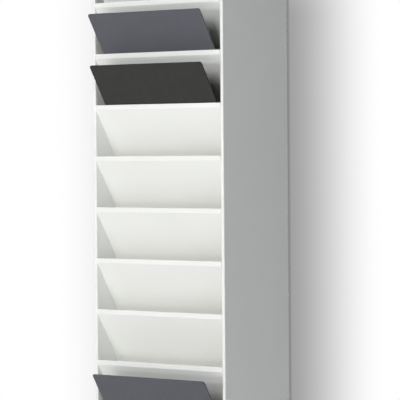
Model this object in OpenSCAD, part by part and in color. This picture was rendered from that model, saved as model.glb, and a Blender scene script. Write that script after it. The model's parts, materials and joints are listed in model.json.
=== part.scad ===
// Tall newspaper rack: two thin side panels carry a column of inclined shelves.
// Each gap between two shelves is a sloping pocket, and stiff boards lie in some of them.
// Frame: millimetres, +Z up, front towards -Y, origin on the floor at the centre of the footprint.

/* [Rack] */
// Clear width between the side panels
inner_w = 360; // [320:1:420]
// Depth from the front edges to the rear face of the back panel
depth = 232; // [200:1:280]
// Thickness of the side panels, the shelves and the lower front panel
panel_t = 8; // [6:0.5:12]
// Thickness of the back panel
back_t = 6; // [4:0.5:8]
// Thickness of the top and base panels
deck_t = 16; // [12:1:22]
// Radius of the side panels' front edges
front_edge_r = 2.5; // [1:0.5:3]

/* [Shelves] */
// Number of pockets
pockets = 12; // [9:1:14]
// Height from one shelf to the next
pitch = 115.5; // [100:0.5:140]
// Lean of the shelves from the vertical, in degrees
lean = 32; // [28:0.5:38]
// Height of the lowest shelf's front edge, where its top face would meet the front plane
lowest_lip = 400; // [400:1:520]
// Radius that blunts the shelf's sharp front edge
nose_r = 1.8; // [0.8:0.1:2.4]
// Depth of the slanted grooves that hold the shelf ends
groove_d = 3; // [2:0.5:4]
// Distance from the front plane to the stopped end of a groove
groove_stop = 10; // [8:1:20]

/* [Boards] */
// Width of a newspaper board
board_w = 322; // [280:1:330]
// Thickness of a newspaper board
board_t = 3; // [2:0.5:5]
// Length of a board that stands out of its pocket, along the slope
board_reach = 97; // [60:1:140]
// Radius of a board's corners
board_corner_r = 5; // [2:0.5:12]

/* [Wall angle] */
// Length of the steel angle behind the top edge
angle_l = 300; // [200:10:340]
// Width of each leg of the angle
angle_leg = 25; // [20:1:30]
// Thickness of the angle
angle_t = 2; // [1.5:0.5:3]
// Distance between the two wall holes
wall_hole_pitch = 240; // [120:10:260]
// Diameter of the wall holes
wall_hole_d = 6; // [5:0.5:7]

/* [Hidden] */
$fn = 48;

// Pockets that hold a board, counted from the top, with each board's colour
// and its place to the right of the pocket's centre
BOARDS = [
    [1, "#d7d7d6", 6],
    [2, "#5e5f65", 3],
    [3, "#343331", 7],
    [9, "#5e5f65", 8]
];
LACQUER = "#f7f7f4";
STEEL = "#a9acb0";
BEECH = "#d2ad7c";

// Joint gaps: between glued pieces, round a groove, and under a loose board
glue_gap = 0.1;
groove_gap = 0.15;
slide_gap = 0.3;

front_y = -depth / 2;
rear_y = depth / 2;
inner_d = depth - back_t;
outer_w = inner_w + 2 * panel_t;

// Heights measured along a plumb line through a shelf
shelf_plumb = panel_t / sin(lean);
function drop(y) = y / tan(lean);

function lip_z(i) = lowest_lip + (pockets - i) * pitch;
rack_h = lip_z(0) + deck_t;
slopes = [0:pockets];

// A board ends just short of the back panel
board_low_end = (inner_d - slide_gap - (slide_gap + board_t) * cos(lean)) / sin(lean);
board_len = board_reach + board_low_end;

// Countersunk screws: [shank diameter, head diameter, length]
BACK_SCREW = [3, 6, 18];
ANGLE_SCREW = [3.5, 7, 14];
screw_recess_w = 0.7;
screw_recess_deep = 0.9;
shelf_screw_x = 120;
angle_screw_x = [-100, 0, 100];

// Dowels that join the top and base panels to the sides
dowel_d = 6;
dowel_l = 20;
dowel_in_side = 5;
dowel_y = [-70, 70];

// Corner battens behind the lower front panel
batten = 15;
batten_top_gap = 12;

angle_corner_r = 4;
wall_hole_z = 15;

function two_digits(i) = str(i < 10 ? "0" : "", i);
function shelf_name(i) = str("shelf_", two_digits(i));
function board_name(i) = str("newspaper_board_", two_digits(i));

// Sweeps an outline drawn in Y and Z along X, centred on x = 0
module along_x(width) {
    translate([-width / 2, 0, 0])
        rotate([90, 0, 90])
            linear_extrude(width)
                children();
}

// Moves to the front edge of slope i
module at_lip(i) {
    translate([0, front_y, lip_z(i)])
        children();
}

// Turns to a slope: +Y runs down the shelf to the back, +Z stands square on its top face
module on_slope(i) {
    at_lip(i)
        rotate([lean - 90, 0, 0])
            children();
}

// Shelf section between two plumb lines, grown by a gap above and below
module slope_band(y0, y1, gap = 0) {
    lift = gap / sin(lean);
    polygon([
        [y0, lift - drop(y0)],
        [y0, -shelf_plumb - lift - drop(y0)],
        [y1, -shelf_plumb - lift - drop(y1)],
        [y1, lift - drop(y1)]
    ]);
}

// Shelf section with its plumb front face and its blunted front edge
module shelf_section() {
    centre = [nose_r, -nose_r / tan(lean / 2)];
    steps = 10;
    nose = [for (k = [0:steps])
        let (a = 180 + (lean - 180) * k / steps)
        centre + nose_r * [cos(a), sin(a)]];
    end = inner_d - glue_gap;
    polygon(concat(
        nose,
        [[end, -drop(end)], [end, -shelf_plumb - drop(end)], [0, -shelf_plumb]]
    ));
}

// Point at the middle of a shelf's plumb rear end
function shelf_rear_z(i) = lip_z(i) - drop(inner_d) - shelf_plumb / 2;

// Screws into the side panels sit midway between shelf ends, one to every second shelf
side_screw_low = shelf_rear_z(pockets) + pitch / 2;

// Places of the back panel's screws in X and Z
back_screw_places = concat(
    [for (i = slopes, x = [-shelf_screw_x, shelf_screw_x]) [x, shelf_rear_z(i)]],
    [for (x = [-1, 1], z = [side_screw_low:2 * pitch:rack_h - deck_t]) [x * (inner_w + panel_t) / 2, z]],
    [for (x = [-shelf_screw_x, shelf_screw_x], z = [deck_t / 2, rack_h - deck_t / 2]) [x, z]]
);

// Countersunk solid with its head's face at z = 0 and its shank down -Z
module countersunk(screw, grow = 0) {
    d = screw[0] + 2 * grow;
    head_d = screw[1] + 2 * grow;
    head_h = (head_d - d) / 2;
    translate([0, 0, -head_h])
        cylinder(h = head_h, d1 = d, d2 = head_d);
    translate([0, 0, -screw[2] - grow])
        cylinder(h = screw[2] + grow - head_h, d = d);
}

// Screw with a cross recess in its head
module screw(size) {
    slot = size[1] * 0.55;
    difference() {
        countersunk(size);
        for (turn = [0, 90])
            rotate([0, 0, turn])
                translate([-slot / 2, -screw_recess_w / 2, -screw_recess_deep])
                    cube([slot, screw_recess_w, screw_recess_deep + 1]);
    }
}

// Puts a child at every back-panel screw, pointing in from the rear face
module at_back_screws() {
    for (p = back_screw_places)
        translate([p[0], rear_y, p[1]])
            rotate([-90, 0, 0])
                children();
}

module back_screw_holes() {
    at_back_screws()
        countersunk(BACK_SCREW, glue_gap / 2);
}

// Puts a child at every dowel, with the dowel's middle at the joint plane and +Z along X
module at_dowels() {
    for (x = [-1, 1], y = dowel_y, z = [deck_t / 2, rack_h - deck_t / 2])
        translate([x * (inner_w / 2 + dowel_in_side - dowel_l / 2), y, z])
            rotate([0, 90, 0])
                children();
}

module dowel_holes() {
    at_dowels()
        cylinder(h = dowel_l + 2 * glue_gap, d = dowel_d + glue_gap, center = true);
}

// Plan of a side panel, from its front edge back
module side_outline() {
    r = front_edge_r;
    hull() {
        for (x = [r, panel_t - r])
            translate([x, r])
                circle(r);
        translate([0, inner_d - r])
            square([panel_t, r]);
    }
}

module side_panel_right() {
    color(LACQUER)
        difference() {
            translate([inner_w / 2, front_y, 0])
                linear_extrude(rack_h)
                    side_outline();
            for (i = slopes)
                at_lip(i)
                    along_x(inner_w + 2 * groove_d)
                        slope_band(groove_stop - groove_gap, inner_d + 1, groove_gap);
            back_screw_holes();
            dowel_holes();
        }
}

module side_panel_left() {
    mirror([1, 0, 0])
        side_panel_right();
}

module back_panel() {
    color(LACQUER)
        difference() {
            translate([-outer_w / 2, rear_y - back_t, 0])
                cube([outer_w, back_t, rack_h]);
            back_screw_holes();
        }
}

// Level panel between the sides
module deck(z) {
    color(LACQUER)
        difference() {
            translate([-inner_w / 2 + glue_gap, front_y, z])
                cube([inner_w - 2 * glue_gap, inner_d - glue_gap, deck_t]);
            back_screw_holes();
            dowel_holes();
        }
}

module top_panel() {
    difference() {
        deck(rack_h - deck_t);
        angle_screw_holes();
    }
}

module base_panel() {
    deck(0);
}

// Closes the front below the lowest pocket, with its top edge planed to the shelf's slope
module lower_front_panel() {
    top = lip_z(pockets) - shelf_plumb - glue_gap;
    low = deck_t + glue_gap;
    color(LACQUER)
        translate([0, front_y, 0])
            along_x(inner_w - 2 * glue_gap)
                polygon([[0, low], [panel_t, low], [panel_t, top - drop(panel_t)], [0, top]]);
}

// Square batten in the corner between the lower front panel and a side
module front_batten_right() {
    y = panel_t + glue_gap;
    z = deck_t + glue_gap;
    h = lip_z(pockets) - shelf_plumb - drop(y + batten) - batten_top_gap - z;
    color(BEECH)
        translate([inner_w / 2 - glue_gap - batten, front_y + y, z])
            cube([batten, batten, h]);
}

module front_batten_left() {
    mirror([1, 0, 0])
        front_batten_right();
}

module corner_dowels() {
    color(BEECH)
        at_dowels()
            cylinder(h = dowel_l, d = dowel_d, center = true);
}

// Inclined shelf whose ends carry tongues for the grooves
module shelf(i) {
    tongue = groove_d - glue_gap;
    color(LACQUER)
        difference() {
            at_lip(i)
                union() {
                    along_x(inner_w - 2 * glue_gap)
                        shelf_section();
                    along_x(inner_w + 2 * tongue)
                        slope_band(groove_stop, inner_d - glue_gap);
                }
            back_screw_holes();
        }
}

// The same shelf closes the topmost pocket from above
module top_slope() {
    shelf(0);
}

module rounded_sheet(w, l, r) {
    translate([r, 0])
        square([w - 2 * r, l]);
    translate([0, r])
        square([w, l - 2 * r]);
    for (x = [r, w - r], y = [r, l - r])
        translate([x, y])
            circle(r);
}

// Stiff sheet that lies loose on shelf i and stands out of the pocket
module newspaper_board(i, tint, shift) {
    color(tint)
        on_slope(i)
            translate([shift - board_w / 2, -board_reach, slide_gap])
                linear_extrude(board_t)
                    rounded_sheet(board_w, board_len, board_corner_r);
}

module back_panel_screws() {
    color(STEEL)
        at_back_screws()
            screw(BACK_SCREW);
}

// Places the wall angle's frame: on the top panel, against the plane of the rear face
module at_angle() {
    translate([0, rear_y, rack_h + glue_gap])
        children();
}

// One leg of the angle, its free corners rounded, its bend along the X axis
module angle_leg_outline() {
    r = angle_corner_r;
    translate([-angle_l / 2, 0])
        square([angle_l, angle_leg - r]);
    translate([-angle_l / 2 + r, 0])
        square([angle_l - 2 * r, angle_leg]);
    for (x = [-1, 1])
        translate([x * (angle_l / 2 - r), angle_leg - r])
            circle(r);
}

// Puts a child at every screw that holds the angle down on the top panel
module at_angle_screws() {
    at_angle()
        for (x = angle_screw_x)
            translate([x, -angle_leg * 0.56, angle_t])
                children();
}

module angle_screw_holes() {
    at_angle_screws()
        countersunk(ANGLE_SCREW, glue_gap / 2);
}

module wall_holes() {
    at_angle()
        for (x = [-1, 1])
            translate([x * wall_hole_pitch / 2, 1, wall_hole_z])
                rotate([90, 0, 0])
                    cylinder(h = angle_t + 2, d = wall_hole_d);
}

// Steel angle on the top panel: its upright leg takes the wall screws
module wall_angle() {
    color(LACQUER)
        difference() {
            at_angle()
                union() {
                    mirror([0, 1, 0])
                        linear_extrude(angle_t)
                            angle_leg_outline();
                    rotate([90, 0, 0])
                        linear_extrude(angle_t)
                            angle_leg_outline();
                }
            wall_holes();
            angle_screw_holes();
        }
}

module wall_angle_screws() {
    color(STEEL)
        at_angle_screws()
            screw(ANGLE_SCREW);
}

side_panel_left();
side_panel_right();
back_panel();
top_panel();
base_panel();
lower_front_panel();
front_batten_left();
front_batten_right();
corner_dowels();
top_slope();
for (i = [1:pockets])
    shelf(i);
for (b = BOARDS)
    newspaper_board(b[0], b[1], b[2]);
back_panel_screws();
wall_angle();
wall_angle_screws();
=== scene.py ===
"""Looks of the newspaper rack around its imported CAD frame: finishes, edges, stage, light and camera."""
import json
import math
from collections import namedtuple

import bpy
from mathutils import Matrix, Vector


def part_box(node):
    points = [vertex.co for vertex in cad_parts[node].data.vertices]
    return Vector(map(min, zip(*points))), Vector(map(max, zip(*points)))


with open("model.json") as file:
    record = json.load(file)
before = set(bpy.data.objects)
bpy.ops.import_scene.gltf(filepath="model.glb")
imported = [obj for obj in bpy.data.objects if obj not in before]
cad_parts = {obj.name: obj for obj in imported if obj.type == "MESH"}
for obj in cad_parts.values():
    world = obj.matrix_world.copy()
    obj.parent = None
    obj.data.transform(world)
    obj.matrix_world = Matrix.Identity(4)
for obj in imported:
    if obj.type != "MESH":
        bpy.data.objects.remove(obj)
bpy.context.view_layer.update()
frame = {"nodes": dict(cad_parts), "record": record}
scene = bpy.context.scene
scene.view_settings.view_transform = "Standard"

# A noise pattern: features per metre, octaves of detail, and how much the finer octaves count.
# A stretched pattern has scale 1, and its stretch gives the features per metre along x, y and z.
Noise = namedtuple("Noise", "scale detail roughness", defaults=(0.5,))
# A change of a value: between low and high it goes from to_low to to_high, and it stays level outside
Ramp = namedtuple("Ramp", "low high to_low to_high", defaults=(0.0, 1.0))
# A sprayed coat: its orange peel, the depth of that in metres, and how its sheen changes
Spray = namedtuple("Spray", "peel depth sheen")
# A lamp: its size in metres, and its direction in degrees as seen from the middle of the rack
Lamp = namedtuple("Lamp", "watts wide tall yaw rise colour")

WHITE = (1.0, 1.0, 1.0, 1.0)

# Camera, fitted to the photograph's edges with the CAD sizes: place in metres, turns in radians
PHOTO_SIDE = 400
FOCAL_PX = 2488.66
SENSOR_MM = 36.0
CAMERA_AT = (3.5481, -4.3579, 1.3302)
CAMERA_YAW = math.radians(38.93)
CAMERA_PITCH = math.radians(-1.133)
CAMERA_ROLL = math.radians(0.4365)
CAMERA_REACH = 60.0

# White lacquer. Colours are linear here and below, and depths of bumps are in metres.
LACQUER = (0.937, 0.932, 0.890, 1.0)
LACQUER_DARKER = 0.965
LACQUER_DRIFT = Noise(2.6, 4.0, 0.55)
LACQUER_DRIFT_RAMP = Ramp(0.35, 0.7)
LACQUER_CLOUD = Noise(21.0, 5.0, 0.6)
LACQUER_GLOSS = 0.3
SPRAYS = {
    "white_lacquer": Spray(Noise(620.0, 2.0), 0.00006, Ramp(0.2, 0.8, 0.37, 0.45)),
    "white_steel": Spray(Noise(900.0, 2.0), 0.0002, Ramp(0.2, 0.8, 0.42, 0.55)),
}

# Boards
BOARD_COLOURS = {
    "board_light_grey": (0.68, 0.685, 0.675, 1.0),
    "board_grey": (0.112, 0.115, 0.130, 1.0),
    "board_black": (0.034, 0.033, 0.031, 1.0),
}
BOARD_DARKER = 0.93
BOARD_MOTTLE = Noise(24.0, 5.0, 0.6)
BOARD_MOTTLE_RAMP = Ramp(0.3, 0.75)
BOARD_RUBBED = 0.03
BOARD_STREAKS = Noise(1.0, 4.0, 0.6)
BOARD_STREAK_STRETCH = (160.0, 9.0, 9.0)
BOARD_STREAK_RAMP = Ramp(0.62, 0.82, 0.0, 0.45)
BOARD_WEAR = Noise(60.0, 3.0)
BOARD_SHEEN = Ramp(0.3, 0.7, 0.52, 0.66)
BOARD_GRAIN = Noise(1900.0, 2.0)
BOARD_GRAIN_DEPTH = 0.00004
BOARD_GLOSS = 0.2

# Beech
BEECH_PALE = (0.66, 0.48, 0.29, 1.0)
BEECH_DARK = (0.52, 0.34, 0.18, 1.0)
BEECH_GRAIN = Noise(1.0, 5.0, 0.6)
BEECH_STRETCH = (260.0, 260.0, 14.0)
BEECH_TONE_RAMP = Ramp(0.35, 0.7)
BEECH_SHEEN = Ramp(0.3, 0.7, 0.5, 0.68)
BEECH_GRAIN_DEPTH = 0.0001

# Zinc plated steel
ZINC = (0.60, 0.61, 0.62, 1.0)
ZINC_DARKER = 0.82
ZINC_CLOUD = Noise(420.0, 4.0)
ZINC_TONE_RAMP = Ramp(0.3, 0.7)
ZINC_SHEEN = Ramp(0.3, 0.7, 0.26, 0.42)
ZINC_PITS = Noise(2600.0, 2.0)
ZINC_PIT_DEPTH = 0.00003

# Eased edges of the plain sheets and battens: bevel width by node, in metres. The other nodes have their
# rounded and blunted edges in the CAD.
EASED = {
    "newspaper_board_01": 0.0007,
    "newspaper_board_02": 0.0007,
    "newspaper_board_03": 0.0007,
    "newspaper_board_09": 0.0007,
    "lower_front_panel": 0.0008,
    "front_batten_left": 0.001,
    "front_batten_right": 0.001,
}
EASE_ANGLE = math.radians(32)
EASE_STEPS = 3
SAME_POINT = 2e-6

# Stage: a pale floor that shows the rack's shadow near it and fades to white
FLOOR_HALF = 9.0
FLOOR_COLOUR = (0.86, 0.86, 0.855, 1.0)
FLOOR_ROUGHNESS = 0.9
FLOOR_GLOSS = 0.1
FLOOR_FADE = Ramp(0.3, 0.95, 0.62, 1.0)

# Stage: a clear backdrop close behind the rack. It carries a painted soft shadow right of the rack, a
# fainter painted shade left of it, and a painted dark shadow line along the rear edges, as the wall in
# the photograph does. The line is full up to the first of its two distances outside the rack and gone at
# the second. All lengths are in metres.
WALL_HALF = 0.58
WALL_TOP = 2.6
WALL_GAP = 0.004
WALL_LAP = 0.008
SHADE_TONE = (0.34, 0.34, 0.34, 1.0)
RIGHT_RISE = Ramp(0.06, 0.19)
RIGHT_FALL = Ramp(0.165, 0.45, 1.0, 0.0)
LEFT_RISE = Ramp(-0.53, -0.19, 0.0, 0.45)
LEFT_FALL = Ramp(-0.19, 0.06, 1.0, 0.0)
TOP_FALL = Ramp(1.62, 1.9, 1.0, 0.0)
# Painted shadow in the gap behind the rack: its tone, and the distances outside the rack where it is full
# and where it ends.
GAP_SHADOW_TONE = (0.25, 0.25, 0.25, 1.0)
GAP_SHADOW_FULL = 0.001
GAP_SHADOW_END = 0.0055

# Light: an even white room and soft lamps
ROOM_LIGHT = 0.05
BACKGROUND_LIGHT = 1.0
RACK_MIDDLE = (0.0, 0.0, 1.2)
LAMP_DISTANCE = 5.2
LAMP_WHITE = (1.0, 1.0, 1.0)
LAMP_COOL = (0.972, 0.985, 1.0)
LAMP_BLUE = (0.81, 0.915, 1.0)
LAMPS = {
    "low_lamp": Lamp(29.0, 3.0, 0.7, -14, -9, LAMP_COOL),
    "level_lamp": Lamp(53.0, 3.0, 0.6, -12, 5, LAMP_COOL),
    "high_lamp": Lamp(114.0, 1.6, 1.6, 12, 22, LAMP_COOL),
    "right_lamp": Lamp(36.0, 2.2, 2.2, 65, 4, LAMP_BLUE),
    "rear_lamp": Lamp(190.0, 3.0, 2.4, 205, 38, LAMP_WHITE),
}

rack_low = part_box("side_panel_left")[0]
rack_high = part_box("side_panel_right")[1]
wall_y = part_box("back_panel")[1][1] + WALL_GAP


class Nodes:
    """A node tree under construction, with short calls for the nodes used here."""

    def __init__(self, tree):
        self.tree = tree

    def node(self, kind, **settings):
        made = self.tree.nodes.new(kind)
        for key, value in settings.items():
            setattr(made, key, value)
        return made

    def fill(self, socket, value):
        """Links an output to the socket, or sets a plain number or colour on it."""
        if isinstance(value, bpy.types.NodeSocket):
            self.tree.links.new(value, socket)
        else:
            socket.default_value = value

    def math(self, operation, *values):
        made = self.node("ShaderNodeMath", operation=operation)
        for value, socket in zip(values, made.inputs):
            self.fill(socket, value)
        return made.outputs["Value"]

    def blend(self, factor, first, second):
        """The first shader where the factor is 0, and the second where it is 1."""
        made = self.node("ShaderNodeMixShader")
        for value, socket in zip((factor, first, second), made.inputs):
            self.fill(socket, value)
        return made.outputs["Shader"]

    def seen_rays(self):
        """1 for the rays that show the background: from the camera, off gloss and through glass."""
        path = self.node("ShaderNodeLightPath")
        seen = path.outputs["Is Camera Ray"]
        for ray in ("Is Glossy Ray", "Is Transmission Ray"):
            seen = self.math("MAXIMUM", seen, path.outputs[ray])
        return seen


class Finish(Nodes):
    """A node material, with patterns that lie in the object's own coordinates."""

    def __init__(self, name):
        self.material = bpy.data.materials.new(name)
        self.material.use_nodes = True
        super().__init__(self.material.node_tree)
        self.surface = self.tree.nodes["Principled BSDF"]
        self.place = self.node("ShaderNodeTexCoord").outputs["Object"]

    def stretched(self, scale):
        mapping = self.node("ShaderNodeMapping")
        self.fill(mapping.inputs["Scale"], scale)
        self.fill(mapping.inputs["Vector"], self.place)
        return mapping.outputs["Vector"]

    def noise(self, pattern, place=None):
        made = self.node("ShaderNodeTexNoise")
        self.fill(made.inputs["Scale"], pattern.scale)
        self.fill(made.inputs["Detail"], pattern.detail)
        self.fill(made.inputs["Roughness"], pattern.roughness)
        self.fill(made.inputs["Vector"], place or self.place)
        return made.outputs["Fac"]

    def spread(self, value, ramp, smooth=False):
        made = self.node("ShaderNodeMapRange", interpolation_type="SMOOTHSTEP" if smooth else "LINEAR")
        self.fill(made.inputs["Value"], value)
        self.fill(made.inputs["From Min"], ramp.low)
        self.fill(made.inputs["From Max"], ramp.high)
        self.fill(made.inputs["To Min"], ramp.to_low)
        self.fill(made.inputs["To Max"], ramp.to_high)
        return made.outputs["Result"]

    def mix(self, factor, first, second):
        """The first colour where the factor is 0, and the second where it is 1."""
        made = self.node("ShaderNodeMix", data_type="RGBA")
        self.fill(made.inputs["Factor"], factor)
        colour_inputs = [socket for socket in made.inputs if socket.type == "RGBA"]
        for value, socket in zip((first, second), colour_inputs):
            self.fill(socket, value)
        return next(socket for socket in made.outputs if socket.type == "RGBA")

    def bump(self, height, depth):
        made = self.node("ShaderNodeBump")
        self.fill(made.inputs["Height"], height)
        self.fill(made.inputs["Distance"], depth)
        return made.outputs["Normal"]

    def paint(self, **sockets):
        """Fills sockets of the Principled shader, named with _ for each space."""
        for key, value in sockets.items():
            self.fill(self.surface.inputs[key.replace("_", " ")], value)

    def end(self, shader):
        self.fill(self.tree.nodes["Material Output"].inputs["Surface"], shader)


def darker(colour, share):
    return tuple(share * channel for channel in colour[:3]) + (1.0,)


def lighter(colour, step):
    return tuple(channel + step for channel in colour[:3]) + (1.0,)


def lacquer(name, spray):
    """White sprayed finish: a slow drift of tone, orange peel, and a sheen that varies a little."""
    finish = Finish(name)
    drift = finish.spread(finish.noise(LACQUER_DRIFT), LACQUER_DRIFT_RAMP)
    finish.paint(
        Base_Color=finish.mix(drift, LACQUER, darker(LACQUER, LACQUER_DARKER)),
        Roughness=finish.spread(finish.noise(LACQUER_CLOUD), spray.sheen),
        Normal=finish.bump(finish.noise(spray.peel), spray.depth),
        Specular_IOR_Level=LACQUER_GLOSS,
    )
    return finish.material


def board(name, colour):
    """Matt coloured board: fine grain, faint mottling and long rubbed streaks along the slope."""
    finish = Finish(name)
    mottle = finish.spread(finish.noise(BOARD_MOTTLE), BOARD_MOTTLE_RAMP)
    tone = finish.mix(mottle, colour, darker(colour, BOARD_DARKER))
    streaks = finish.noise(BOARD_STREAKS, finish.stretched(BOARD_STREAK_STRETCH))
    tone = finish.mix(finish.spread(streaks, BOARD_STREAK_RAMP), tone, lighter(colour, BOARD_RUBBED))
    finish.paint(
        Base_Color=tone,
        Roughness=finish.spread(finish.noise(BOARD_WEAR), BOARD_SHEEN),
        Normal=finish.bump(finish.noise(BOARD_GRAIN), BOARD_GRAIN_DEPTH),
        Specular_IOR_Level=BOARD_GLOSS,
    )
    return finish.material


def beech(name):
    """Planed beech: pale ground with fine dark flecks along the grain."""
    finish = Finish(name)
    grain = finish.noise(BEECH_GRAIN, finish.stretched(BEECH_STRETCH))
    finish.paint(
        Base_Color=finish.mix(finish.spread(grain, BEECH_TONE_RAMP), BEECH_PALE, BEECH_DARK),
        Roughness=finish.spread(grain, BEECH_SHEEN),
        Normal=finish.bump(grain, BEECH_GRAIN_DEPTH),
    )
    return finish.material


def zinc(name):
    """Zinc plated steel with a cloudy polish."""
    finish = Finish(name)
    cloud = finish.noise(ZINC_CLOUD)
    finish.paint(
        Base_Color=finish.mix(finish.spread(cloud, ZINC_TONE_RAMP), ZINC, darker(ZINC, ZINC_DARKER)),
        Metallic=1.0,
        Roughness=finish.spread(cloud, ZINC_SHEEN),
        Normal=finish.bump(finish.noise(ZINC_PITS), ZINC_PIT_DEPTH),
    )
    return finish.material


def ease_edges(piece, width):
    """Joins the CAD faces at their shared edges and rounds the sharp ones evenly."""
    join = piece.modifiers.new("joined_faces", "WELD")
    join.merge_threshold = SAME_POINT
    ease = piece.modifiers.new("eased_edges", "BEVEL")
    ease.width = width
    ease.segments = EASE_STEPS
    ease.limit_method = "ANGLE"
    ease.angle_limit = EASE_ANGLE
    ease.use_clamp_overlap = False
    ease.loop_slide = False


finishes = {"beech": beech("beech"), "zinc_steel": zinc("zinc_steel")}
for slot, coat in SPRAYS.items():
    finishes[slot] = lacquer(slot, coat)
for slot, board_colour in BOARD_COLOURS.items():
    finishes[slot] = board(slot, board_colour)

for part in frame["record"]["subparts"]:
    node = frame["nodes"][part["node"]]
    node.data.materials.clear()
    node.data.materials.append(finishes[part["material_slot"]])
    if part["node"] in EASED:
        ease_edges(node, EASED[part["node"]])


def floor_material():
    """A pale floor under a white that thickens away from the rack, for rays that show the background."""
    finish = Finish("stage_floor")
    finish.paint(Base_Color=FLOOR_COLOUR, Roughness=FLOOR_ROUGHNESS, Specular_IOR_Level=FLOOR_GLOSS)
    reach = finish.node("ShaderNodeVectorMath", operation="LENGTH")
    finish.fill(reach.inputs[0], finish.place)
    fade = finish.spread(reach.outputs["Value"], FLOOR_FADE, smooth=True)
    cover = finish.math("MULTIPLY", fade, finish.seen_rays())
    white = finish.node("ShaderNodeEmission")
    finish.fill(white.inputs["Color"], WHITE)
    finish.fill(white.inputs["Strength"], BACKGROUND_LIGHT)
    finish.end(finish.blend(cover, finish.surface.outputs["BSDF"], white.outputs["Emission"]))
    return finish.material


def wall_material():
    """A clear veil that carries only painted shade and a painted shadow line, for the rays that show the
    background from the front.
    """
    finish = Finish("stage_wall")
    axes = finish.node("ShaderNodeSeparateXYZ")
    finish.fill(axes.inputs["Vector"], finish.place)
    across = axes.outputs["X"]
    height = axes.outputs["Z"]
    # Painted shadow of the rack on the backdrop: deep to its right, fainter to its left, fading out above
    # its top.
    right = finish.math("MULTIPLY", finish.spread(across, RIGHT_RISE, smooth=True),
                        finish.spread(across, RIGHT_FALL, smooth=True))
    left = finish.math("MULTIPLY", finish.spread(across, LEFT_RISE, smooth=True),
                       finish.spread(across, LEFT_FALL, smooth=True))
    shade = finish.math("MULTIPLY", finish.spread(height, TOP_FALL, smooth=True),
                        finish.math("ADD", right, left))
    tone = finish.mix(shade, WHITE, SHADE_TONE)
    # Painted dark shadow line where the backdrop meets the rack's sides and top.
    past_side = finish.spread(finish.math("ABSOLUTE", across),
                              Ramp(rack_high[0] + GAP_SHADOW_FULL, rack_high[0] + GAP_SHADOW_END))
    past_top = finish.spread(height, Ramp(rack_high[2] + GAP_SHADOW_FULL, rack_high[2] + GAP_SHADOW_END))
    tone = finish.mix(finish.math("MAXIMUM", past_side, past_top), GAP_SHADOW_TONE, tone)
    tone = finish.mix(finish.node("ShaderNodeNewGeometry").outputs["Backfacing"], tone, WHITE)
    veil = finish.node("ShaderNodeBsdfTransparent")
    finish.fill(veil.inputs["Color"], finish.mix(finish.seen_rays(), WHITE, tone))
    finish.end(veil.outputs["BSDF"])
    return finish.material


def stage_plane(name, quads, material):
    """One flat stage mesh made of separate rectangles, each given by its four corners."""
    mesh = bpy.data.meshes.new(name)
    corners = [corner for quad in quads for corner in quad]
    mesh.from_pydata(corners, [], [tuple(range(k, k + 4)) for k in range(0, len(corners), 4)])
    mesh.materials.append(material)
    made = bpy.data.objects.new(name, mesh)
    scene.collection.objects.link(made)


def level_quad(half):
    return [(-half, -half, 0), (half, -half, 0), (half, half, 0), (-half, half, 0)]


def upright_quad(x0, x1, z0, z1):
    return [(x0, wall_y, z0), (x1, wall_y, z0), (x1, wall_y, z1), (x0, wall_y, z1)]


stage_plane("stage_floor", [level_quad(FLOOR_HALF)], floor_material())
stage_plane("stage_wall", [
    upright_quad(-WALL_HALF, rack_low[0] + WALL_LAP, 0, rack_high[2]),
    upright_quad(rack_high[0] - WALL_LAP, WALL_HALF, 0, rack_high[2]),
    upright_quad(-WALL_HALF, WALL_HALF, rack_high[2], WALL_TOP),
], wall_material())


def room_light():
    """An even dim room, with white in its place for the rays that show the background."""
    world = bpy.data.worlds.new("studio")
    world.use_nodes = True
    scene.world = world
    nodes = Nodes(world.node_tree)
    room = world.node_tree.nodes["Background"]
    background = nodes.node("ShaderNodeBackground")
    for shader, strength in ((room, ROOM_LIGHT), (background, BACKGROUND_LIGHT)):
        nodes.fill(shader.inputs["Color"], WHITE)
        nodes.fill(shader.inputs["Strength"], strength)
    shown = nodes.blend(nodes.seen_rays(), room.outputs["Background"], background.outputs["Background"])
    nodes.fill(world.node_tree.nodes["World Output"].inputs["Surface"], shown)


def soft_lamp(name, lamp):
    """An oval area lamp in its direction, turned to the middle of the rack."""
    data = bpy.data.lights.new(name, "AREA")
    data.shape = "ELLIPSE"
    data.size = lamp.wide
    data.size_y = lamp.tall
    data.energy = lamp.watts
    data.color = lamp.colour
    made = bpy.data.objects.new(name, data)
    scene.collection.objects.link(made)
    yaw = math.radians(lamp.yaw)
    rise = math.radians(lamp.rise)
    towards = Vector((math.sin(yaw) * math.cos(rise), -math.cos(yaw) * math.cos(rise), math.sin(rise)))
    made.location = Vector(RACK_MIDDLE) + LAMP_DISTANCE * towards
    made.rotation_euler = (-towards).to_track_quat("-Z", "Y").to_euler()


room_light()
for lamp_name, lamp in LAMPS.items():
    soft_lamp(lamp_name, lamp)


def aim_camera():
    """The photograph's camera."""
    data = bpy.data.cameras.new("photo_camera")
    data.sensor_fit = "HORIZONTAL"
    data.sensor_width = SENSOR_MM
    data.lens = FOCAL_PX * SENSOR_MM / PHOTO_SIDE
    data.clip_end = CAMERA_REACH
    camera = bpy.data.objects.new("photo_camera", data)
    scene.collection.objects.link(camera)
    ahead = Vector((-math.sin(CAMERA_YAW) * math.cos(CAMERA_PITCH),
                    math.cos(CAMERA_YAW) * math.cos(CAMERA_PITCH),
                    math.sin(CAMERA_PITCH)))
    level = Vector((math.cos(CAMERA_YAW), math.sin(CAMERA_YAW), 0.0))
    upright = level.cross(ahead)
    right = math.cos(CAMERA_ROLL) * level - math.sin(CAMERA_ROLL) * upright
    up = math.sin(CAMERA_ROLL) * level + math.cos(CAMERA_ROLL) * upright
    turn = Matrix((right, up, -ahead)).transposed()
    camera.matrix_world = Matrix.Translation(CAMERA_AT) @ turn.to_4x4()
    scene.camera = camera


aim_camera()
